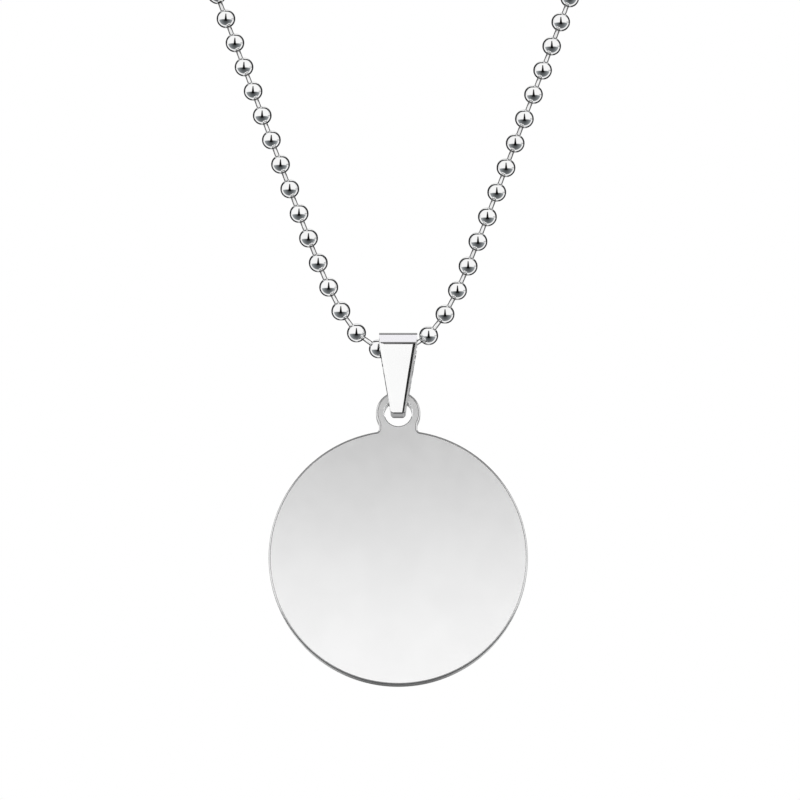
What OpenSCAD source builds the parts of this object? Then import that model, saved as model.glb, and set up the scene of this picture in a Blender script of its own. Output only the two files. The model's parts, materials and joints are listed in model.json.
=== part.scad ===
// Round tag pendant on a ball chain: a polished steel disc with an ear, hung from a tapered
// folded bail, on a closed loop of hollow balls and pins with a plain connector at the nape.
// Millimetres, +Z up, front towards -Y. The origin is the middle of the nape, where it is worn.

/* [Tag] */
// Diameter of the round tag
tag_d = 32; // [24:0.5:40]
// Thickness of the tag
tag_t = 1.8; // [1.4:0.1:1.9]
// How far the faces of the ear and neck lie below the faces of the tag
ear_step = 0.05; // [0.02:0.01:0.2]
// Rounding of the tag's rims
tag_rim_r = 0.25; // [0.1:0.05:0.4]
// Outer diameter of the ear
ear_d = 5.5; // [5.2:0.1:6]
// Diameter of the hole in the ear
ear_hole_d = 3.4; // [3.2:0.1:3.6]
// Height of the ear's hole above the middle of the tag
ear_rise = 18.2; // [16:0.1:22]
// Width of the neck between ear and disc
neck_w = 4.75; // [4:0.05:5]
// Radius of the hollow corners where the neck meets the disc
neck_corner_r = 0.55; // [0.3:0.05:1]

/* [Bail] */
// Radius of the bail's eye round the chain
eye_r = 1.65; // [1.6:0.05:2]
// Thickness of the folded strip at the top of the bail
bail_wall = 0.5; // [0.4:0.05:0.6]
// Width of the bail at its top edge
bail_top_w = 4.78; // [4.4:0.02:4.9]
// Width of the bail at the crease of its front
bail_crease_w = 4.72; // [4.3:0.02:4.8]
// Width of the bail at its foot
bail_foot_w = 1.77; // [1.4:0.01:2]
// Depth of the bail at its foot, front to back
bail_foot_depth = 2.8; // [2.7:0.05:3.2]
// Play of the ear between the bail's legs, on each side
ear_play = 0.15; // [0.1:0.05:0.3]
// Gap between the bail's foot and the top of the ear's hole
ear_seat_gap = 0.2; // [0.1:0.05:0.3]
// Distance of the bail's middle from the middle of the loop
bail_shift = 0.55; // [0.3:0.05:0.6]

/* [Ball chain] */
// Diameter of a ball
ball_d = 2.4; // [2.3:0.05:2.45]
// Thickness of a ball's shell
ball_wall = 0.25; // [0.2:0.01:0.3]
// Wanted distance from ball to ball
pitch = 3.47; // [3.3:0.01:3.6]
// Diameter of the pin between two balls
pin_d = 0.58; // [0.5:0.02:0.62]
// Diameter of the pin's head inside the next ball
head_d = 1.12; // [1:0.02:1.2]
// Diameter of the hole that the pin passes through
ball_hole_d = 0.88; // [0.84:0.02:0.96]

/* [Loop as worn] */
// Angle of the straight strands from the vertical, in the plane of the chest
spread = 20; // [15:0.5:24]
// Lean of the chest from the vertical
chest_lean = 2; // [0:1:10]
// Distance from the nape to the collar, front to back
neck_depth = 104; // [95:1:115]
// Drop from the nape to the collar
collar_drop = 58; // [50:1:66]
// Length of each strand from the bail to the collar
strand_length = 143; // [121:1:151]

/* [Clasp] */
// Distance between the two end balls in the connector
end_ball_gap = 4.2; // [3.8:0.1:5]
// Outer diameter of the connector
clasp_d = 3.5; // [3.4:0.1:4]
// Thickness of the connector's wall
clasp_wall = 0.3; // [0.25:0.05:0.35]
// Diameter of the window where a ball goes in
clasp_window_d = 2.6; // [2.5:0.1:3]
// Play of the pin in the connector's slot, on each side
clasp_pin_gap = 0.3; // [0.25:0.05:0.35]

/* [Hidden] */
$fn = 48;
past = 1;                // how far a cutter runs past what it cuts
ball_r = ball_d / 2;
ball_inner_r = ball_r - ball_wall;
head_back = 0.25;        // how far a head's middle stays short of its ball's middle

// The strand leaves the bail level and turns up to its straight run within a few balls
bend_reach = 4.7;
bend_power = 1.1;
strand_step = 0.5;

// Pull of the curve at the collar and at the nape, round the neck
collar_pull = 50;
nape_pull = 58;
neck_steps = 80;

// Where the first ball to the right of the loop's lowest point lies along the chain
first_ball = 1.5;

// Bail, measured from its swing axis, which lies in the middle of the eye
swing_rise = 0.15;       // height of the swing axis above the chain's lowest point
bail_top = eye_r + bail_wall;
bail_flat_half = 0.95;   // half of the flat on top, front to back
crease_z = 0.48;
ear_drop = 8.15;         // from the swing axis down to the middle of the ear's hole
foot_below_ear = 0.2;    // from there down to the bottom of the foot
foot_z = -ear_drop - foot_below_ear;
foot_corner = 0.4;       // rounding of the fold at the foot, front and back
slot_half = tag_t / 2 + ear_play;
ear_t = tag_t - 2 * ear_step;
seat_r = ear_hole_d / 2 - ear_seat_gap;

// Angle from the vertical at distance s along a strand
function strand_angle(s) =
    spread + (90 - spread) * exp(-pow(s / bend_reach, bend_power));

// Points of the right strand in its own plane: across and up from the lowest point
function strand_points() =
    [for (s = 0, p = [0, 0]; s <= strand_length;
          p = p + strand_step * [sin(strand_angle(s + strand_step / 2)),
                                 cos(strand_angle(s + strand_step / 2))],
          s = s + strand_step) p];

strand_flat = strand_points();
strand_end = strand_flat[len(strand_flat) - 1];
collar = [strand_end.x, -neck_depth, -collar_drop];
lowest = collar - [strand_end.x, strand_end.y * sin(chest_lean), strand_end.y * cos(chest_lean)];
strand_run = [for (p = strand_flat)
    lowest + [p.x, p.y * sin(chest_lean), p.y * cos(chest_lean)]];

// Cubic curve from the collar over the shoulder to the nape
collar_direction = [sin(spread), cos(spread) * sin(chest_lean), cos(spread) * cos(chest_lean)];
neck_poles = [collar, collar + collar_pull * collar_direction, [nape_pull, 0, 0], [0, 0, 0]];
function cubic(q, t) = pow(1 - t, 3) * q[0] + 3 * t * pow(1 - t, 2) * q[1]
    + 3 * t * t * (1 - t) * q[2] + pow(t, 3) * q[3];
neck_run = [for (i = [1:neck_steps]) cubic(neck_poles, i / neck_steps)];

// The right half of the loop, and the distance of each point from the lowest one
half_run = concat(strand_run, neck_run);
half_distance = [for (i = 0, d = 0; i < len(half_run);
    i = i + 1, d = d + (i < len(half_run) ? norm(half_run[i] - half_run[i - 1]) : 0)) d];
half_length = half_distance[len(half_distance) - 1];
function axis_table(axis) = [for (i = [0:len(half_run) - 1]) [half_distance[i], half_run[i][axis]]];
across_table = axis_table(0);
depth_table = axis_table(1);
height_table = axis_table(2);

// Point of the loop at distance s from the lowest point, positive to the right
function loop_point(s) = [
    sign(s) * lookup(abs(s), across_table),
    lookup(abs(s), depth_table),
    lookup(abs(s), height_table)];

// Balls, spaced so that the two end balls meet in the connector
ball_count = 1 + round((2 * half_length - end_ball_gap) / pitch);
ball_step = (2 * half_length - end_ball_gap) / (ball_count - 1);
balls_right = round((half_length - end_ball_gap / 2 - first_ball) / ball_step);
balls_left = ball_count - 1 - balls_right;
balls = [for (i = [-balls_left:balls_right]) loop_point(first_ball + i * ball_step)];
last = len(balls) - 1;

// Turns +Z towards a direction
module aim(direction) {
    rotate([0, acos(direction.z / norm(direction)), atan2(direction.y, direction.x)]) children();
}

// Hollow ball, its poles across the chain, which runs along Z
module ball() {
    rotate([90, 0, 0]) difference() {
        sphere(r = ball_r);
        sphere(r = ball_inner_r);
    }
}

// Pin that leaves a ball along +Z, with its head short of the middle of the next ball
module pin(reach) {
    translate([0, 0, ball_r - ball_wall / 2])
        cylinder(d = pin_d, h = reach - head_back - ball_r + ball_wall / 2);
    translate([0, 0, reach - head_back]) sphere(d = head_d);
}

// One link: ball, pin and head in one, with a hole for the pin that comes from the ball before
module link(i) {
    onward = i < last ? balls[i + 1] - balls[i] : balls[i] - balls[i - 1];
    translate(balls[i]) difference() {
        aim(onward) {
            ball();
            if (i < last) pin(norm(onward));
        }
        if (i > 0) aim(balls[i - 1] - balls[i]) cylinder(d = ball_hole_d, h = ball_r + past);
    }
}

// The whole chain, loose links that hold each other by their heads
module ball_chain() {
    color("gainsboro") for (i = [0:last]) link(i);
}

// Connector: a sleeve that holds the two end balls. A ball goes in at the round window
// half way along, and its pin slides out along the slot to a hole in the sleeve's end.
module clasp() {
    span = balls[0] - balls[last];
    inner_r = clasp_d / 2 - clasp_wall;
    inner_length = norm(span) + ball_d + 0.5;
    length = inner_length + 2 * clasp_wall;
    slot_w = pin_d + 2 * clasp_pin_gap;
    color("silver") translate((balls[0] + balls[last]) / 2) aim(span) difference() {
        cylinder(d = clasp_d, h = length, center = true);
        cylinder(r = inner_r, h = inner_length, center = true);
        cylinder(d = slot_w, h = length + past, center = true);
        translate([clasp_d / 2, 0, 0]) cube([clasp_d, slot_w, length + past], center = true);
        rotate([0, 90, 0]) cylinder(d = clasp_window_d, h = clasp_d);
    }
}

// Side view of the bail: y across, z up, from the swing axis
module bail_side() {
    half_eye = bail_top;
    half_foot = bail_foot_depth / 2;
    turn = [for (a = [0:30:90]) foot_corner * [cos(a) - 1, 1 - sin(a)]];
    front = concat(
        [[bail_flat_half, bail_top], [half_eye, crease_z]],
        [for (p = turn) [half_foot, foot_z] + p]);
    back = [for (i = [len(front) - 1:-1:0]) [-front[i].x, front[i].y]];
    polygon(concat(front, back));
}

// Space between the legs: the round eye, narrowing to the slot that takes the ear
module bail_hollow() {
    eye_side = 0.99 * eye_r;
    circle(r = eye_r);
    polygon([
        [-eye_side * cos(25), -eye_side * sin(25)],
        [eye_side * cos(25), -eye_side * sin(25)],
        [slot_half, -ear_drop],
        [-slot_half, -ear_drop]]);
}

// Front view of the bail: x across, z up, tapering to the foot
module bail_front() {
    right = [[bail_top_w / 2, bail_top], [bail_crease_w / 2, crease_z], [bail_foot_w / 2, foot_z]];
    left = [for (i = [2:-1:0]) [-right[i].x, right[i].y]];
    polygon(concat(right, left));
}

swing_axis = lowest + [bail_shift, 0, swing_rise];

module bail() {
    color("whitesmoke") translate(swing_axis) difference() {
        intersection() {
            rotate([90, 0, 90]) linear_extrude(bail_top_w + past, center = true) bail_side();
            rotate([90, 0, 0]) linear_extrude(2 * bail_top + past, center = true) bail_front();
        }
        difference() {
            rotate([90, 0, 90]) linear_extrude(bail_top_w + past, center = true) bail_hollow();
            translate([0, 0, -ear_drop]) rotate([90, 0, 0])
                cylinder(r = seat_r, h = bail_foot_depth, center = true);
        }
    }
}

// Round plate with rounded rims, standing upright, with its middle at the origin
module plate(d, t) {
    rotate([90, 0, 0]) rotate_extrude() {
        translate([0, -t / 2]) square([d / 2 - tag_rim_r, t]);
        translate([0, tag_rim_r - t / 2]) square([d / 2, t - 2 * tag_rim_r]);
        for (side = [-1, 1])
            translate([d / 2 - tag_rim_r, side * (t / 2 - tag_rim_r)]) circle(r = tag_rim_r);
    }
}

// Neck between disc and ear, with its two hollow corners
module neck() {
    corner = [neck_w / 2 + neck_corner_r,
        sqrt(pow(tag_d / 2 + neck_corner_r, 2) - pow(neck_w / 2 + neck_corner_r, 2))];
    touch = corner * (tag_d / 2) / (tag_d / 2 + neck_corner_r);
    translate([-neck_w / 2, tag_d / 2 - past]) square([neck_w, ear_rise - tag_d / 2 + past]);
    for (side = [0, 1]) mirror([side, 0]) difference() {
        polygon([[0, touch.y - past / 2], touch, corner, [neck_w / 2, corner.y], [0, corner.y]]);
        translate(corner) circle(r = neck_corner_r);
    }
}

module tag() {
    color("whitesmoke") translate(swing_axis - [0, 0, ear_drop + ear_rise]) difference() {
        union() {
            plate(tag_d, tag_t);
            translate([0, 0, ear_rise]) plate(ear_d, ear_t);
            rotate([90, 0, 0]) linear_extrude(ear_t, center = true) neck();
        }
        translate([0, 0, ear_rise]) rotate([90, 0, 0])
            cylinder(d = ear_hole_d, h = tag_t + past, center = true);
    }
}

ball_chain();
clasp();
bail();
tag();
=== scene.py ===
# Round steel tag on a ball chain, as worn, in a plain white studio.
# +Z up, front towards -Y, origin at the middle of the nape. Pieces are shaped in millimetres
# and settled into the frame in metres.
import json
import math

import bmesh
import bpy
from mathutils import Matrix, Vector


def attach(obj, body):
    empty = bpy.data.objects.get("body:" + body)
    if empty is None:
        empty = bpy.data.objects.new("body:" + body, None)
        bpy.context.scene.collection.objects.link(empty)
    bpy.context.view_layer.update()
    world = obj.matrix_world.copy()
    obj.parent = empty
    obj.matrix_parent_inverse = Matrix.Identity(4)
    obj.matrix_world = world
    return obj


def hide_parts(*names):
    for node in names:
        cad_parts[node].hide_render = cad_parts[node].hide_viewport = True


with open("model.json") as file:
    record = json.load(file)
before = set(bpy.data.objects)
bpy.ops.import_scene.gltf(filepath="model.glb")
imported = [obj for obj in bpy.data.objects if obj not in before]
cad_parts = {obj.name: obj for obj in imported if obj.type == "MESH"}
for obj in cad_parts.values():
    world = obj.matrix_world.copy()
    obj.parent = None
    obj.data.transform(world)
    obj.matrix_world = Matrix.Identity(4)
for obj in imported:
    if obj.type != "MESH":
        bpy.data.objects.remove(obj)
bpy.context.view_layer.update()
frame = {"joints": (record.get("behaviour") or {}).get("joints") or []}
MM = 0.001

# Chain
BALL_D = 2.398
BALL_HOLE_D = 0.62
BALL_HOLE_DEPTH = 0.35
PITCH = 3.47
BALL_RIM_R = 0.03
PIN_D = 0.58
PIN_REACH = 0.28
PIN_END_R = 0.05
FIRST_BALL = 1.5
FRONT_STRETCH = 54
# Sides and rings of a ball's mesh, where it is seen close up and round the neck
FRONT_BALL_MESH = (32, 24)
NECK_BALL_MESH = (10, 8)

# Loop as worn
SPREAD = math.radians(20)
CHEST_LEAN = math.radians(2)
NECK_DEPTH = 104
COLLAR_DROP = 58
STRAND_LENGTH = 143
BEND_REACH = 4.7
BEND_POWER = 1.1
STRAND_STEP = 0.5
COLLAR_PULL = 50
NAPE_PULL = 58
NECK_STEPS = 80

# Connector
END_BALL_GAP = 4.2
CLASP_D = 3.5
CLASP_WALL = 0.3
CLASP_PLAY = 0.5
CLASP_END_R = 0.25
CLASP_EDGE_R = 0.05
CLASP_SLOT_W = 1.18
CLASP_WINDOW_D = 2.6

# Tag, with its ear and neck
TAG_D = 31.99
TAG_T = 1.8
TAG_RIM_R = 0.25
EAR_D = 5.5
EAR_HOLE_D = 3.4
EAR_RISE = 18.2
NECK_W = 4.75
NECK_CORNER_R = 0.55
EAR_HOLE_R = 0.12
DISC_NIP = 0.05
NECK_NIP = 0.02
WEB_ROOT = 2
NECK_ROOT = 1
SLIVER = 0.003

# Bail, measured from its swing axis
EYE_R = 1.65
BAIL_TOP = 2.15
BAIL_FLAT_HALF = 0.95
CREASE_Z = 0.48
BAIL_TOP_W = 4.78
BAIL_CREASE_W = 4.72
BAIL_FOOT_W = 1.77
BAIL_FOOT_DEPTH = 2.8
BAIL_BEVEL = 0.22
ROLL_TOP_W = 0.36
ROLL_FOOT_W = 0.2
ROLL = math.radians(3.4)
BEVEL_END = 0.5
FOOT_CORNER = 0.13
FOOT_CHAMFER = 0.2
CHAMFER_LEAN = 0.17
FOOT_SEAMS_Y = (-1.05, 0.5)
CREASE_R = 0.17
TOP_R = 0.5
BAIL_EDGE_R = 0.035
EAR_DROP = 8.15
FOOT_Z = -8.35
SLOT_HALF = 1.05
SLOT_START = math.radians(25)
SEAT_R = 1.5

# Photograph: 800 pixels square, long lens, seen from a little below
PHOTO_PX = 800
PX_PER_MM = 8.107
TAG_MIDDLE_PX = (398.2, 556.5)
LOOK_UP = math.radians(13)
CAMERA_DISTANCE = 500
SENSOR_W = 36

# Power of the soft boxes, in watts, and the tint of one
TAG_LOW_POWER = 0.095
TAG_CARD_POWER = 0.0125
TAG_SIDE_POWER = 0.36
TAG_BACK_POWER = 0.025
BAIL_CARD_POWER = 0.0245
BAIL_TOP_POWER = 0.0135
BAIL_TOP_TINT = (0.976, 0.962, 1)
BAIL_LOW_POWER = 0.083
CLASP_CARD_POWER = 0.15
PIN_CARD_POWER = 6.5
BACK_CARD_POWER = 0.42
BACK_LOW_POWER = 0.124
LOW_CARD_POWER = 0.16
FLOOR_POWER = 70

# Floor: how far it lies below the tag, in millimetres, and its size and where its fade to
# white starts and ends, in metres
FLOOR_DROP = 110
FLOOR_SIZE = 8
FLOOR_FADE = (0.5, 3.0)

# Points whose heights differ by less than this count as level, in millimetres
LEVEL = 0.01

# The frame's joints, in millimetres
swing_axis = Vector(frame["joints"][0]["pos_m"]) / MM
ear_centre = Vector(frame["joints"][1]["pos_m"]) / MM
tag_centre = ear_centre - Vector((0, 0, EAR_RISE))


# Shader maths


class Sock:
    """A node's output that adds Math nodes when it is used in an expression."""

    def __init__(self, tree, socket):
        self.tree, self.socket = tree, socket

    def math(self, kind, *others):
        node = self.tree.nodes.new("ShaderNodeMath")
        node.operation = kind
        for slot, value in zip(node.inputs, (self, *others)):
            feed(slot, value)
        return Sock(self.tree, node.outputs[0])

    def __add__(self, other):
        return self.math("ADD", other)

    def __mul__(self, other):
        return self.math("MULTIPLY", other)

    def __sub__(self, other):
        return self.math("SUBTRACT", other)

    def __rsub__(self, other):
        return self.math("MULTIPLY", -1.0) + other

    __radd__, __rmul__ = __add__, __mul__

    def smooth(self, low, high):
        """0 up to low, 1 from high, and smooth between."""
        node = self.tree.nodes.new("ShaderNodeMapRange")
        node.interpolation_type = "SMOOTHSTEP"
        for name, value in (("Value", self), ("From Min", low), ("From Max", high)):
            feed(node.inputs[name], value)
        return Sock(self.tree, node.outputs[0])


def feed(slot, value):
    """Links an output to a socket, or sets the socket to a plain value."""
    if isinstance(value, Sock):
        value.tree.links.new(value.socket, slot)
    else:
        slot.default_value = value


class Shader:
    """The nodes of a material or a world."""

    def __init__(self, owner):
        owner.use_nodes = True
        self.tree = owner.node_tree
        self.tree.nodes.clear()

    def add(self, kind, settings=(), out=0, **inputs):
        """Any node: its type, its settings, and the values or links of its sockets."""
        node = self.tree.nodes.new("ShaderNode" + kind)
        for name, value in dict(settings).items():
            setattr(node, name, value)
        for name, value in inputs.items():
            feed(node.inputs[name.replace("_", " ")], value)
        return Sock(self.tree, node.outputs[out]) if node.outputs else None

    def blend(self, factor, first, second):
        """First colour at factor 0, second at 1."""
        node = self.tree.nodes.new("ShaderNodeMix")
        node.data_type = "RGBA"
        for slot, value in ((0, factor), (6, first), (7, second)):
            feed(node.inputs[slot], value)
        return Sock(self.tree, node.outputs[2])

    def split(self, vector):
        """The X, Y and Z of a vector."""
        node = self.add("SeparateXYZ", Vector=vector).socket.node
        return [Sock(self.tree, socket) for socket in node.outputs]

    def noise(self, size, stretch=(1, 1, 1), detail=3.0, roughness=0.5):
        """Noise from 0 to 1 in the piece's own place, with grains size millimetres across."""
        here = self.add("TexCoord", out="Object")
        here = self.add("Mapping", Vector=here, Scale=stretch)
        return self.add(
            "TexNoise", Vector=here, Scale=1 / (size * MM), Detail=detail, Roughness=roughness)


def grey(value):
    return (value, value, value, 1)


BLACK, WHITE = grey(0), grey(1)


def steel(name, bright, dull, rough, swing, grain, depth, stretch=(1, 1, 1)):
    """Polished steel. Its colour drifts from bright to dull in clouds, its roughness swings
    in smudges, and polishing has left a fine grain, sized and deep in millimetres."""
    material = bpy.data.materials.new(name)
    shader = Shader(material)
    clouds = shader.noise(size=7, detail=2.0)
    smudges = shader.noise(size=1.8, detail=4.0, roughness=0.6)
    lines = shader.noise(grain, stretch, detail=4.0, roughness=0.65)
    surface = shader.add(
        "BsdfPrincipled",
        Base_Color=shader.blend(clouds.smooth(0.35, 0.65), grey(bright), grey(dull)),
        Metallic=1.0,
        Roughness=rough + (smudges - 0.5) * swing + (lines - 0.5) * (swing * 0.5),
        Normal=shader.add("Bump", Height=lines, Strength=1.0, Distance=depth * MM),
    )
    shader.add("OutputMaterial", Surface=surface)
    return material


# The tag's faces, its rounded rims and its outer wall, which are painted dark as painted
# shade, and the wall of its hole
TAG_STEEL = steel(
    "satin_tag_steel", bright=0.93, dull=0.91, rough=0.33, swing=0.04, grain=0.12,
    depth=0.0002, stretch=(1, 1, 8))
# The rims are painted far darker than the faces: painted shade for the dark line round the
# tag.
DARK_PAINTED_RIM_STEEL = steel(
    "rim_steel_painted_dark", bright=0.32, dull=0.28, rough=0.22, swing=0.06, grain=0.15,
    depth=0.0002)
# The outer wall is painted darker still: painted shade.
DARK_PAINTED_WALL_STEEL = steel(
    "wall_steel_painted_dark", bright=0.13, dull=0.1, rough=0.28, swing=0.08, grain=0.12,
    depth=0.0004, stretch=(1, 8, 1))
DRILLED_STEEL = steel(
    "drilled_wall_steel", bright=0.98, dull=0.96, rough=0.8, swing=0.1, grain=0.1,
    depth=0.0004, stretch=(1, 8, 1))
# The bail's flats, and its rounded edges, which are painted dark as painted shade
BAIL_STEEL = steel(
    "polished_bail_steel", bright=0.97, dull=0.95, rough=0.08, swing=0.02, grain=0.6,
    depth=0.00002, stretch=(4, 4, 1))
# The rounded top edges, the crease and the foot's corners are painted dark: painted shade for
# the dark lines along them.
DARK_PAINTED_EDGE_STEEL = steel(
    "edge_steel_painted_dark", bright=0.2, dull=0.16, rough=0.16, swing=0.05, grain=0.2,
    depth=0.0001)
# The chain and its connector
BALL_STEEL = steel(
    "bright_ball_steel", bright=0.95, dull=0.91, rough=0.05, swing=0.03, grain=0.35,
    depth=0.0004)
# The pins are painted dark: painted shade where they sit between the balls.
DARK_PAINTED_PIN_STEEL = steel(
    "pin_steel_painted_dark", bright=0.24, dull=0.2, rough=0.14, swing=0.05, grain=0.3,
    depth=0.0001)
CLASP_STEEL = steel(
    "plated_connector_steel", bright=0.9, dull=0.85, rough=0.14, swing=0.08, grain=0.25,
    depth=0.0006, stretch=(0.2, 1, 1))


# Modelling, in millimetres


def start(add, **shape):
    """A primitive, alone and selected."""
    bpy.ops.object.select_all(action="DESELECT")
    add(**shape)
    return bpy.context.object


def block(low, high):
    """A box between two corners."""
    low, high = Vector(low), Vector(high)
    piece = start(bpy.ops.mesh.primitive_cube_add, size=1, location=(low + high) / 2)
    piece.scale = high - low
    bpy.ops.object.transform_apply(location=True, rotation=True, scale=True)
    return piece


def rod(radius, length, along="Z", at=(0, 0, 0), sides=64):
    """A round bar about a point, along X, Y or Z."""
    turn = {"X": (0, math.pi / 2, 0), "Y": (math.pi / 2, 0, 0), "Z": (0, 0, 0)}[along]
    piece = start(
        bpy.ops.mesh.primitive_cylinder_add,
        vertices=sides, radius=radius, depth=length, location=at, rotation=turn)
    bpy.ops.object.transform_apply(location=True, rotation=True, scale=True)
    return piece


def only(piece):
    """Makes a piece the one that operators act on."""
    bpy.ops.object.select_all(action="DESELECT")
    piece.select_set(True)
    bpy.context.view_layer.objects.active = piece


def pick(piece, kind, test):
    """Goes into edit mode with the faces, edges or corners selected that pass a test."""
    only(piece)
    bpy.ops.object.mode_set(mode="EDIT")
    bpy.ops.mesh.select_mode(type=kind)
    bpy.ops.mesh.select_all(action="DESELECT")
    form = bmesh.from_edit_mesh(piece.data)
    items = {"FACE": form.faces, "EDGE": form.edges, "VERT": form.verts}[kind]
    for item in [item for item in items if test(item)]:
        item.select_set(True)
    bmesh.update_edit_mesh(piece.data)


def leave():
    bpy.ops.object.mode_set(mode="OBJECT")


def modify(piece, kind, **settings):
    """Adds a modifier and applies it."""
    only(piece)
    modifier = piece.modifiers.new(kind.lower(), kind)
    for name, value in settings.items():
        setattr(modifier, name, value)
    bpy.ops.object.modifier_apply(modifier=modifier.name)


def combine(piece, other, how):
    """UNION with another piece, or DIFFERENCE from it, which is used up."""
    modify(piece, "BOOLEAN", operation=how, object=other, solver="EXACT")
    bpy.data.objects.remove(other)


def cut_through(piece, points, side, face):
    """Cuts off what lies past the plane through three points, seen from the origin. The
    points are mirrored across where side is -1, and front to back where face is -1."""
    a, b, c = (Vector((side * p.x, face * p.y, p.z)) for p in points)
    outward = (b - a).cross(c - a).normalized()
    outward *= math.copysign(1, outward.dot(a))
    pick(piece, "FACE", lambda face: True)
    bpy.ops.mesh.bisect(plane_co=a, plane_no=outward, use_fill=True, clear_outer=True)
    leave()


def soften(piece, width, segments, angle, crisp=0):
    """Rounds the sharp edges and keeps the flats flat. Edges that turn by less than crisp
    degrees, such as a roll-off's, stay as crisp lines."""
    modify(
        piece, "BEVEL", width=width, segments=segments, limit_method="ANGLE",
        angle_limit=math.radians(angle), use_clamp_overlap=True)
    only(piece)
    bpy.ops.object.shade_smooth_by_angle(angle=math.radians(50))
    if crisp:
        pick(piece, "EDGE", lambda edge: 0.02 < edge.calc_face_angle(0) < math.radians(crisp))
        bpy.ops.mesh.mark_sharp()
        leave()
    modify(piece, "WEIGHTED_NORMAL", mode="FACE_AREA", weight=100, keep_sharp=True)


def settle(piece, name, material, body, node, slot, placing=Matrix.Identity(4)):
    """Puts a finished piece in its place, in metres, and ties it to the frame."""
    piece.data.transform(Matrix.Scale(MM, 4) @ placing)
    piece.name = piece.data.name = name
    piece.data.materials.append(material)
    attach(piece, body)
    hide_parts(node)
    return piece


def refinish(piece, material, faces):
    """Gives some faces of a piece a material of their own."""
    piece.data.materials.append(material)
    for face in faces:
        face.material_index = len(piece.data.materials) - 1


def join(pieces):
    """Fuses copies into one piece."""
    only(pieces[0])
    for piece in pieces:
        piece.select_set(True)
    bpy.ops.object.join()
    return pieces[0]


# Tag: disc, neck and ear in one outline, drilled, with its rims rounded


def make_tag():
    # The corner rounds nip a hair into the disc and the neck, so that the outlines cross
    r = TAG_D / 2
    reach = r + NECK_CORNER_R - DISC_NIP
    corner_x = NECK_W / 2 + NECK_CORNER_R - NECK_NIP
    corner_y = math.sqrt(reach**2 - corner_x**2)
    touch_x, touch_y = corner_x * r / reach + DISC_NIP, corner_y * r / reach
    half = TAG_T / 2
    tag = rod(r, TAG_T, sides=256)
    web = block((-touch_x, touch_y - WEB_ROOT, -half), (touch_x, corner_y, half))
    for side in (-1, 1):
        hollow = rod(NECK_CORNER_R, 2 * TAG_T, at=(side * corner_x, corner_y, 0), sides=48)
        combine(web, hollow, "DIFFERENCE")
    neck = block(
        (-NECK_W / 2, touch_y - NECK_ROOT, -half), (NECK_W / 2, EAR_RISE, half))
    combine(web, neck, "UNION")
    combine(web, rod(EAR_D / 2, TAG_T, at=(0, EAR_RISE, 0), sides=96), "UNION")
    combine(tag, web, "UNION")
    # Slivers left by the union would spoil the rims' rounding
    pick(tag, "VERT", lambda corner: True)
    bpy.ops.mesh.remove_doubles(threshold=SLIVER)
    bpy.ops.mesh.select_all(action="SELECT")
    bpy.ops.mesh.dissolve_limited(angle_limit=math.radians(0.3), delimit=set())
    leave()
    modify(
        tag, "BEVEL", width=TAG_RIM_R, segments=5, limit_method="ANGLE",
        angle_limit=math.radians(60), use_clamp_overlap=False)
    combine(tag, rod(EAR_HOLE_D / 2, 2 * TAG_T, at=(0, EAR_RISE, 0), sides=96), "DIFFERENCE")
    soften(tag, EAR_HOLE_R, segments=2, angle=60)
    upright = Matrix.Translation(tag_centre) @ Matrix.Rotation(math.pi / 2, 4, "X")
    settle(tag, "polished_tag", TAG_STEEL, "tag", "tag", "tag_steel", upright)
    set_tag_edge_materials(tag)
    return tag


def set_tag_edge_materials(tag):
    """The rims and the outer wall are painted darker than the faces: painted shade. The hole's
    wall has a rougher finish of its own. The hole's rim has its wall's material, but for the
    lowest part, which has the rims' painted shade."""
    rims, walls, drilled = [], [], []
    for face in tag.data.polygons:
        facing = abs(face.normal.y)
        from_eye = face.center / MM - ear_centre
        in_hole = math.hypot(from_eye.x, from_eye.z) < EAR_HOLE_D / 2 + EAR_HOLE_R
        is_flat, is_wall = facing >= 0.99, facing <= 0.1
        if in_hole and (from_eye.z > -0.5 or is_wall) and not is_flat:
            drilled.append(face)
        elif is_wall:
            walls.append(face)
        elif not is_flat:
            rims.append(face)
    refinish(tag, DARK_PAINTED_RIM_STEEL, rims)
    refinish(tag, DRILLED_STEEL, drilled)
    refinish(tag, DARK_PAINTED_WALL_STEEL, walls)


# Bail: a block cut to its tapers, with bevelled sides, a folded foot, an eye and a slot


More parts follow.
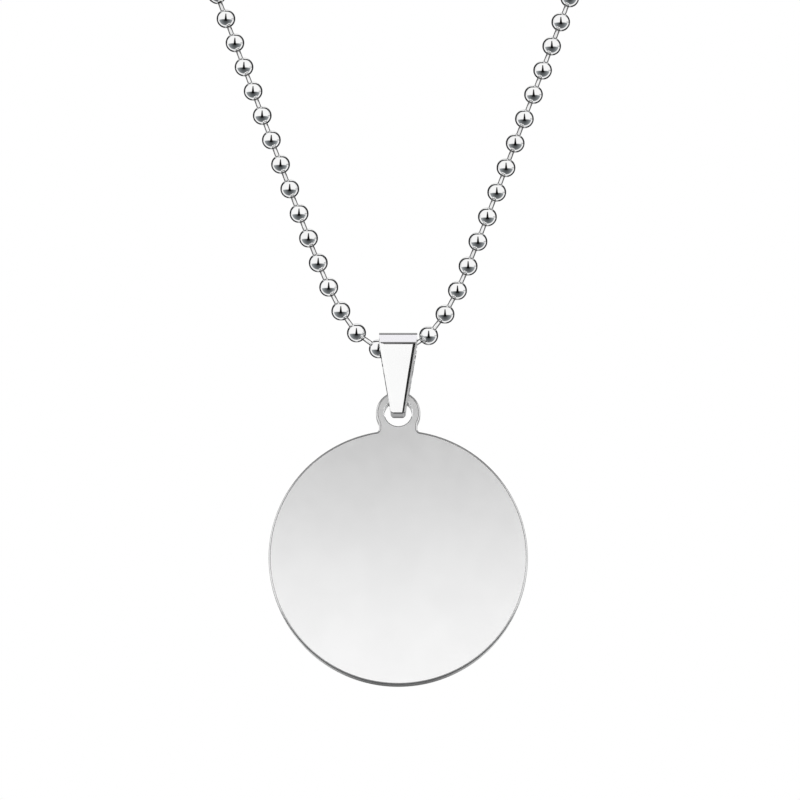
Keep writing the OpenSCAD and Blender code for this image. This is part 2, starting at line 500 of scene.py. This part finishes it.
def make_bail():
    top = Vector((BAIL_TOP_W / 2, BAIL_FLAT_HALF, BAIL_TOP))
    crease = Vector((BAIL_CREASE_W / 2, BAIL_TOP, CREASE_Z))
    foot = Vector((BAIL_FOOT_W / 2, BAIL_FOOT_DEPTH / 2, FOOT_Z))
    across, deep = Vector((1, 0, 0)), Vector((0, 1, 0))
    bail = block((-BAIL_TOP_W, -2 * BAIL_TOP, FOOT_Z), (BAIL_TOP_W, 2 * BAIL_TOP, BAIL_TOP))
    for side in (-1, 1):
        for other in (top, foot):
            cut_through(bail, (crease, other, crease + deep), side, side)
            cut_through(bail, (crease, other, crease + across), side, side)
    round_edges(bail, CREASE_Z, CREASE_R)
    round_edges(bail, BAIL_TOP, TOP_R)
    # The bevel on each corner runs down from the crease, and runs out above it. Polishing has
    # rolled off a narrow strip of the face beside it.
    inner, outer = crease - across * BAIL_BEVEL, crease - deep * BAIL_BEVEL
    low = foot - across * BAIL_BEVEL
    roll = (
        inner - across * ROLL_TOP_W, low - across * ROLL_FOOT_W,
        inner - deep * ROLL_TOP_W * math.tan(ROLL))
    for side in (-1, 1):
        for face in (-1, 1):
            cut_through(bail, (inner, outer, crease.lerp(top, BEVEL_END)), side, face)
            cut_through(bail, (inner, outer, low), side, face)
            cut_through(bail, roll, side, face)
    # The foot's corners are cut off, and all its edges rounded. Seams run across it.
    corner = foot - across * FOOT_CHAMFER
    upper = foot + FOOT_CHAMFER * Vector((CHAMFER_LEAN, 0, 1))
    for side in (-1, 1):
        cut_through(bail, (corner, upper, corner + deep), side, side)
    chamfered = FOOT_Z + 2 * FOOT_CHAMFER
    pick(bail, "EDGE", lambda edge: all(end.co.z < chamfered for end in edge.verts))
    bpy.ops.mesh.bevel(offset=FOOT_CORNER, segments=4, affect="EDGES")
    leave()
    for seam_y in FOOT_SEAMS_Y:
        pick(bail, "FACE", lambda face: face.normal.z < -0.95)
        bpy.ops.mesh.bisect(plane_co=(0, seam_y, 0), plane_no=(0, 1, 0))
        leave()
    combine(bail, bail_hollow(), "DIFFERENCE")
    soften(bail, BAIL_EDGE_R, segments=2, angle=20, crisp=5)
    # The faces picked here are painted dark: painted shade.
    rolled = [face.index for face in bail.data.polygons if is_painted_dark(face)]
    settle(
        bail, "polished_bail", BAIL_STEEL, "bail", "bail", "bail_steel",
        Matrix.Translation(swing_axis))
    refinish(bail, DARK_PAINTED_EDGE_STEEL, [bail.data.polygons[index] for index in rolled])
    return bail


def is_painted_dark(face):
    """Whether a face of the bail is on a rounded top edge or crease, or on the foot's
    corners or what lies before and behind its seams. These faces are painted dark, as painted
    shade."""
    across, deep, up = face.normal
    here = face.center
    on_top, on_foot = here.z > 1.5, here.z < FOOT_Z + 0.5
    at_crease = abs(here.z - CREASE_Z) < 0.3 and abs(here.y) > EYE_R
    between_seams = FOOT_SEAMS_Y[0] < here.y < FOOT_SEAMS_Y[1]
    endways = abs(across) >= 0.3
    if on_foot:
        return up < -0.15 and (endways or not between_seams)
    if on_top:
        return not endways and 0.62 < up < 0.98
    return at_crease and not endways and abs(deep) > 0.5 and -0.03 < up < 0.55


def round_edges(piece, height, radius):
    """Rounds the edges that lie at a height and run along X."""

    def chosen(edge):
        a, b = (end.co for end in edge.verts)
        level = abs(a.z - height) < LEVEL and abs(b.z - height) < LEVEL
        return level and abs((a - b).normalized().x) > 0.99

    pick(piece, "EDGE", chosen)
    bpy.ops.mesh.bevel(offset=radius, segments=4, affect="EDGES")
    leave()


def bail_hollow():
    """The eye for the chain and the slot for the ear, down to the round seat in the foot."""
    # Its top corners lie just inside the eye, so that the two meet without a step
    inside = 0.99 * EYE_R
    top_half, top_z = inside * math.cos(SLOT_START), -inside * math.sin(SLOT_START)
    slot = block((-BAIL_TOP_W, -top_half, -EAR_DROP), (BAIL_TOP_W, top_half, top_z))
    pick(slot, "FACE", lambda face: face.normal.z < -0.9)
    bpy.ops.transform.resize(value=(1, SLOT_HALF / top_half, 1))
    leave()
    combine(slot, rod(SEAT_R, 4 * EYE_R, "Y", (0, 0, -EAR_DROP)), "DIFFERENCE")
    combine(slot, rod(EYE_R, 2 * BAIL_TOP_W, "X"), "UNION")
    return slot


# Chain: the loop's own curve, worked out as the frame's is


def strand_angle(s):
    return SPREAD + (math.pi / 2 - SPREAD) * math.exp(-((s / BEND_REACH) ** BEND_POWER))


def half_loop():
    """Points of the right half of the loop, from its lowest point to the nape."""
    flat = [Vector((0, 0))]
    for i in range(round(STRAND_LENGTH / STRAND_STEP)):
        angle = strand_angle((i + 0.5) * STRAND_STEP)
        flat.append(flat[-1] + STRAND_STEP * Vector((math.sin(angle), math.cos(angle))))
    lean = Vector((0, math.sin(CHEST_LEAN), math.cos(CHEST_LEAN)))
    collar = Vector((flat[-1].x, -NECK_DEPTH, -COLLAR_DROP))
    lowest = collar - Vector((flat[-1].x, 0, 0)) - flat[-1].y * lean
    strand = [lowest + Vector((p.x, 0, 0)) + p.y * lean for p in flat]
    onward = Vector((math.sin(SPREAD), 0, 0)) + math.cos(SPREAD) * lean
    poles = (collar, collar + COLLAR_PULL * onward, Vector((NAPE_PULL, 0, 0)), Vector())
    for i in range(1, NECK_STEPS + 1):
        t = i / NECK_STEPS
        weights = ((1 - t) ** 3, 3 * t * (1 - t) ** 2, 3 * t * t * (1 - t), t**3)
        strand.append(sum((w * pole for w, pole in zip(weights, poles)), Vector()))
    return strand


def ball_places():
    """Middles of all the balls, from the left end at the nape round to the right end, and
    how far each lies along the chain from the loop's lowest point."""
    run = half_loop()
    along = [0.0]
    for here, onward in zip(run, run[1:]):
        along.append(along[-1] + (onward - here).length)
    count = 1 + round((2 * along[-1] - END_BALL_GAP) / PITCH)
    step = (2 * along[-1] - END_BALL_GAP) / (count - 1)
    to_right = round((along[-1] - END_BALL_GAP / 2 - FIRST_BALL) / step)
    spots = [FIRST_BALL + i * step for i in range(to_right - count + 1, to_right + 1)]
    return [point_at(run, along, s) for s in spots], spots


def point_at(run, along, s):
    """The loop's point at distance s from its lowest point, mirrored where s is negative."""
    i = next(i for i in range(1, len(along)) if along[i] >= abs(s) or i == len(along) - 1)
    part = (abs(s) - along[i - 1]) / (along[i] - along[i - 1])
    point = run[i - 1].lerp(run[i], part)
    return Vector((math.copysign(1, s) * point.x, point.y, point.z))


def aim(direction):
    """Turns +Z towards a direction."""
    return direction.to_track_quat("Z", "Y").to_matrix().to_4x4()


def model_ball(sides, rings, rolled):
    """One hollow ball: a sphere whose two poles are opened and drilled at the ring nearest
    the hole's width, with its rims rolled in where they are seen close up."""
    r = BALL_D / 2
    ball = start(
        bpy.ops.mesh.primitive_uv_sphere_add, segments=sides, ring_count=rings, radius=r)
    opened = max(1, round(math.asin(BALL_HOLE_D / BALL_D) * rings / math.pi))
    rim_z = r * math.cos(math.pi * opened / rings)
    for side in (-1, 1):
        pick(ball, "FACE", lambda face: side * face.calc_center_median().z > rim_z)
        bpy.ops.mesh.dissolve_faces()
        bpy.ops.mesh.extrude_region_move(
            TRANSFORM_OT_translate={"value": (0, 0, -side * BALL_HOLE_DEPTH)})
        leave()
        if rolled:
            pick(ball, "EDGE", lambda edge: all(
                side * end.co.z > rim_z - 2 * LEVEL for end in edge.verts))
            bpy.ops.mesh.bevel(offset=BALL_RIM_R, segments=2, affect="EDGES")
            leave()
    only(ball)
    bpy.ops.object.shade_smooth_by_angle(angle=math.radians(60))
    return ball


def model_pin(length):
    """One pin: a drawn bar that goes a little way into each ball, with softened ends."""
    pin = rod(PIN_D / 2, length - BALL_D + 2 * PIN_REACH, sides=16)
    pick(pin, "FACE", lambda face: abs(face.normal.z) > 0.9)
    bpy.ops.mesh.bevel(offset=PIN_END_R, segments=1, affect="EDGES")
    leave()
    only(pin)
    bpy.ops.object.shade_smooth_by_angle(angle=math.radians(60))
    return pin


def copies(model, placings):
    """A copy of a model, with its own mesh, at each placing, all fused into one piece."""
    made = []
    for placing in placings:
        piece = bpy.data.objects.new(model.name, model.data.copy())
        bpy.context.scene.collection.objects.link(piece)
        piece.data.transform(placing)
        made.append(piece)
    bpy.data.objects.remove(model)
    return join(made)


def make_chain():
    """The balls and the pins. The balls' middles and the pins are returned."""
    places, spots = ball_places()
    front, back, between = [], [], []
    for i, (place, spot) in enumerate(zip(places, spots)):
        before, after = places[max(i - 1, 0)], places[min(i + 1, len(places) - 1)]
        placing = Matrix.Translation(place) @ aim(after - before)
        (front if abs(spot) < FRONT_STRETCH else back).append(placing)
        if after != place:
            between.append(Matrix.Translation((place + after) / 2) @ aim(after - place))
    chain = ("loop", "ball_chain", "chain_steel")
    balls = copies(model_ball(*FRONT_BALL_MESH, rolled=True), front)
    settle(balls, "front_balls", BALL_STEEL, *chain)
    balls = copies(model_ball(*NECK_BALL_MESH, rolled=False), back)
    settle(balls, "neck_balls", BALL_STEEL, *chain)
    pins = copies(model_pin((places[1] - places[0]).length), between)
    return places, settle(pins, "chain_pins", DARK_PAINTED_PIN_STEEL, *chain)


# Connector: a sleeve round the two end balls, with a slot and a window


def make_clasp(places):
    span = places[0] - places[-1]
    inner = span.length + BALL_D + CLASP_PLAY
    length = inner + 2 * CLASP_WALL
    sleeve = rod(CLASP_D / 2, length, sides=64)
    pick(sleeve, "EDGE", lambda edge: abs(edge.verts[0].co.z - edge.verts[1].co.z) < LEVEL)
    bpy.ops.mesh.bevel(offset=CLASP_END_R, segments=4, affect="EDGES")
    leave()
    combine(sleeve, rod(CLASP_D / 2 - CLASP_WALL, inner), "DIFFERENCE")
    combine(sleeve, rod(CLASP_SLOT_W / 2, 2 * length), "DIFFERENCE")
    half = CLASP_SLOT_W / 2
    combine(sleeve, block((0, -half, -length), (CLASP_D, half, length)), "DIFFERENCE")
    window = rod(CLASP_WINDOW_D / 2, CLASP_D, "X", (CLASP_D / 2, 0, 0))
    combine(sleeve, window, "DIFFERENCE")
    soften(sleeve, CLASP_EDGE_R, segments=2, angle=30)
    turn = Vector((0, 0, 1)).rotation_difference(span).to_matrix().to_4x4()
    placing = Matrix.Translation((places[0] + places[-1]) / 2) @ turn
    return settle(
        sleeve, "plain_connector", CLASP_STEEL, "loop", "clasp", "clasp_steel", placing)


# Studio: white all round, with the dark gaps between its soft boxes, and a pale floor


def make_world():
    """Brightness by direction, seen from the pendant. front is 1 towards the lens and -1
    behind, rise is 1 above the line of sight, and across is 1 to the right."""
    world = bpy.data.worlds.new("studio_light")
    bpy.context.scene.world = world
    shader = Shader(world)
    direction = shader.add("TexCoord", out="Generated")
    turned = shader.add("Mapping", Vector=direction, Rotation=(-LOOK_UP, 0, 0))
    across, back, rise = shader.split(turned)
    front, side = back * -1.0, across.math("ABSOLUTE")
    # The gap between the two front soft boxes, which narrows upwards
    gap_w = 0.07 + (1.0 - rise) * 0.16
    gap = (gap_w - side).smooth(-0.04, 0.04) * front.smooth(0.05, 0.3)
    gap = gap * (0.93 - rise).smooth(0.0, 0.1) * (rise + 0.58).smooth(0.0, 0.14)
    # A dark board under the front, lighter towards the back and its ends, and a touch cool
    board = (0.0 - rise).smooth(0.06, 0.24) * (front + 0.06).smooth(-0.08, 0.08)
    tone = 0.055 + (0.92 - front) * 0.16 + side * side * 0.15
    board_tone = shader.add("CombineXYZ", X=tone * 0.93, Y=tone, Z=tone * 1.04)
    # The dark walls behind. An arch between them is light, and a strip below it is paler.
    upper = rise.smooth(-0.15, 0.0)
    walls = (back - 0.45 + upper * (0.43 - side * 0.36)).smooth(-0.04, 0.04)
    arch = side * side * 9.0 + (front + 1.0) * (front + 1.0) * 2.9
    arch = (1.0 - arch).smooth(-0.1, 0.1) * (rise * 0.9 - side).smooth(-0.04, 0.04)
    walls = walls * (1.0 - upper * arch)
    walls = walls * (1.0 - (1.0 - upper) * (0.12 - side).smooth(-0.05, 0.05) * 0.35)
    # The grey backdrop high up behind, and a grey panel to the right
    backdrop = upper * arch * back.smooth(0.84, 0.92)
    panel = (across - 0.94).smooth(0.0, 0.03)
    panel = panel * (0.1 - rise.math("ABSOLUTE")).smooth(0.0, 0.06)
    light = shader.blend(board, WHITE, board_tone)
    light = shader.blend(gap, light, grey(0.004))
    light = shader.blend(walls, light, (0.03, 0.032, 0.034, 1))
    light = shader.blend(backdrop, light, grey(0.5))
    light = shader.blend(panel, light, grey(0.45))
    # The lens itself sees white
    light = shader.blend(shader.add("LightPath", out="Is Camera Ray"), light, WHITE)
    shader.add("OutputWorld", Surface=shader.add("Background", Color=light, Strength=1.0))


def soft_box(name, place, target, size, power, lit, tint=(1, 1, 1)):
    """A soft box, hidden from the lens, that lights a few pieces alone. Places and sizes
    are in millimetres."""
    data = bpy.data.lights.new(name, "AREA")
    data.shape = "RECTANGLE"
    data.size, data.size_y = (side * MM for side in size)
    data.energy, data.color = power, tint
    lamp = bpy.data.objects.new(name, data)
    lamp.location = Vector(place) * MM
    lamp.rotation_euler = (Vector(target) - Vector(place)).to_track_quat("-Z", "Y").to_euler()
    bpy.context.scene.collection.objects.link(lamp)
    lamp.visible_camera = False
    group = bpy.data.collections.new(name)
    for piece in lit:
        group.objects.link(piece)
    lamp.light_linking.receiver_collection = group


def light_pins(pins):
    """A broad card round the lens, for the bright line along each pin."""
    middle = swing_axis + Vector((0, 0, 45))
    soft_box(
        "pin_card", place=middle + Vector((0, -230, -53)), target=middle, size=(800, 800),
        power=PIN_CARD_POWER, lit=[pins])


def light_tag(tag):
    """A low card close to the tag, so that its face brightens downwards, a far card, a
    strip at each side for its rim, and two cards behind for the wall of the ear's hole."""
    low = tag_centre + Vector((0, 0, -TAG_D / 2))
    under = low + Vector((0, 0, -11))
    soft_box(
        "tag_low_card", place=under + Vector((0, -120, 0)), target=under, size=(400, 110),
        power=TAG_LOW_POWER, lit=[tag])
    soft_box(
        "tag_card", place=low + Vector((0, -300, 60)), target=low, size=(260, 160),
        power=TAG_CARD_POWER, lit=[tag])
    for side in (-1, 1):
        soft_box(
            "tag_side_strip", place=tag_centre + Vector((side * 200, -30, 45)),
            target=tag_centre, size=(240, 240), power=TAG_SIDE_POWER, lit=[tag])
        soft_box(
            "tag_back_card", place=ear_centre + Vector((side * 84, 392, 0)),
            target=ear_centre, size=(80, 110), power=TAG_BACK_POWER, lit=[tag])


def light_bail(bail):
    """A card ahead of the bail and to its left, which its front face shows, one above it
    for its top facet, and one lower down for higher views."""
    middle = swing_axis + Vector((0, 0, -4))
    soft_box(
        "bail_card", place=middle + Vector((-48, -250, 14)), target=middle, size=(130, 60),
        power=BAIL_CARD_POWER, lit=[bail])
    soft_box(
        "bail_top_card", place=swing_axis + Vector((0, -24, 250)), target=swing_axis,
        size=(120, 40), power=BAIL_TOP_POWER, lit=[bail], tint=BAIL_TOP_TINT)
    soft_box(
        "bail_low_card", place=middle + Vector((0, -250, -96)), target=middle,
        size=(260, 120), power=BAIL_LOW_POWER, lit=[bail])


def light_clasp(clasp):
    """A card ahead of the connector."""
    soft_box(
        "clasp_card", place=(0, -300, 0), target=(0, 0, 0), size=(300, 200),
        power=CLASP_CARD_POWER, lit=[clasp])


def light_all(pieces, floor):
    """Broad cards behind and under the flat pieces, for the sides that the photograph
    doesn't show, and one over the floor. The two low ones behind leave a dark gap between
    them, which the disc's wall shows at the very bottom."""
    ahead = Vector((0, -300, 0))
    behind = Vector((0, 300, tag_centre.z + 104))
    soft_box(
        "back_card", place=behind, target=behind + ahead, size=(700, 292),
        power=BACK_CARD_POWER, lit=pieces)
    for side in (-1, 1):
        behind = Vector((side * 205, 300, tag_centre.z - 146))
        soft_box(
            "back_low_card", place=behind, target=behind + ahead, size=(290, 208),
            power=BACK_LOW_POWER, lit=pieces)
    soft_box(
        "low_card", place=tag_centre + Vector((0, -200, -190)), target=tag_centre,
        size=(500, 300), power=LOW_CARD_POWER, lit=pieces)
    soft_box(
        "floor_light", place=(0, 0, 2200), target=(0, 0, 0), size=(6000, 6000),
        power=FLOOR_POWER, lit=[floor])


def make_floor():
    """A pale floor, a little cloudy, that fades to the white of the studio far out."""
    height = (tag_centre.z - TAG_D / 2 - FLOOR_DROP) * MM
    floor = start(
        bpy.ops.mesh.primitive_plane_add, size=FLOOR_SIZE, location=(0, 0, height))
    floor.name = "floor"
    bpy.ops.object.transform_apply(location=True, rotation=True, scale=True)
    material = bpy.data.materials.new("pale_floor")
    shader = Shader(material)
    tone = shader.blend(shader.noise(size=40).smooth(0.3, 0.7), grey(0.86), grey(0.83))
    x, y, _ = shader.split(shader.add("TexCoord", out="Object"))
    fade = (x * x + y * y).math("SQRT").smooth(*FLOOR_FADE)
    surface = shader.add(
        "BsdfPrincipled", Base_Color=tone, Roughness=0.7,
        Emission_Color=shader.blend(fade, BLACK, WHITE), Emission_Strength=1.0)
    shader.add("OutputMaterial", Surface=surface)
    floor.data.materials.append(material)
    floor.visible_glossy = False
    return floor


def make_camera():
    """The photograph's view: its scale at the pendant, and the tag at its place in it."""
    view = Vector((0, math.cos(LOOK_UP), math.sin(LOOK_UP)))
    up = Vector((0, -math.sin(LOOK_UP), math.cos(LOOK_UP)))
    face_centre = tag_centre + Vector((0, -TAG_T / 2, 0))
    middle = PHOTO_PX / 2
    aim_at = face_centre + up * ((TAG_MIDDLE_PX[1] - middle) / PX_PER_MM)
    aim_at.x += (middle - TAG_MIDDLE_PX[0]) / PX_PER_MM
    data = bpy.data.cameras.new("camera")
    data.sensor_width = SENSOR_W
    data.lens = PX_PER_MM * CAMERA_DISTANCE * SENSOR_W / PHOTO_PX
    data.clip_start, data.clip_end = 0.05, 20
    camera = bpy.data.objects.new("camera", data)
    camera.location = (aim_at - view * CAMERA_DISTANCE) * MM
    camera.rotation_euler = view.to_track_quat("-Z", "Y").to_euler()
    bpy.context.scene.collection.objects.link(camera)
    bpy.context.scene.camera = camera


bpy.context.scene.view_settings.view_transform = "Standard"
make_camera()
make_world()
tag, bail = make_tag(), make_bail()
places, pins = make_chain()
clasp = make_clasp(places)
light_pins(pins)
light_tag(tag)
light_bail(bail)
light_clasp(clasp)
light_all([tag, bail, clasp], make_floor())
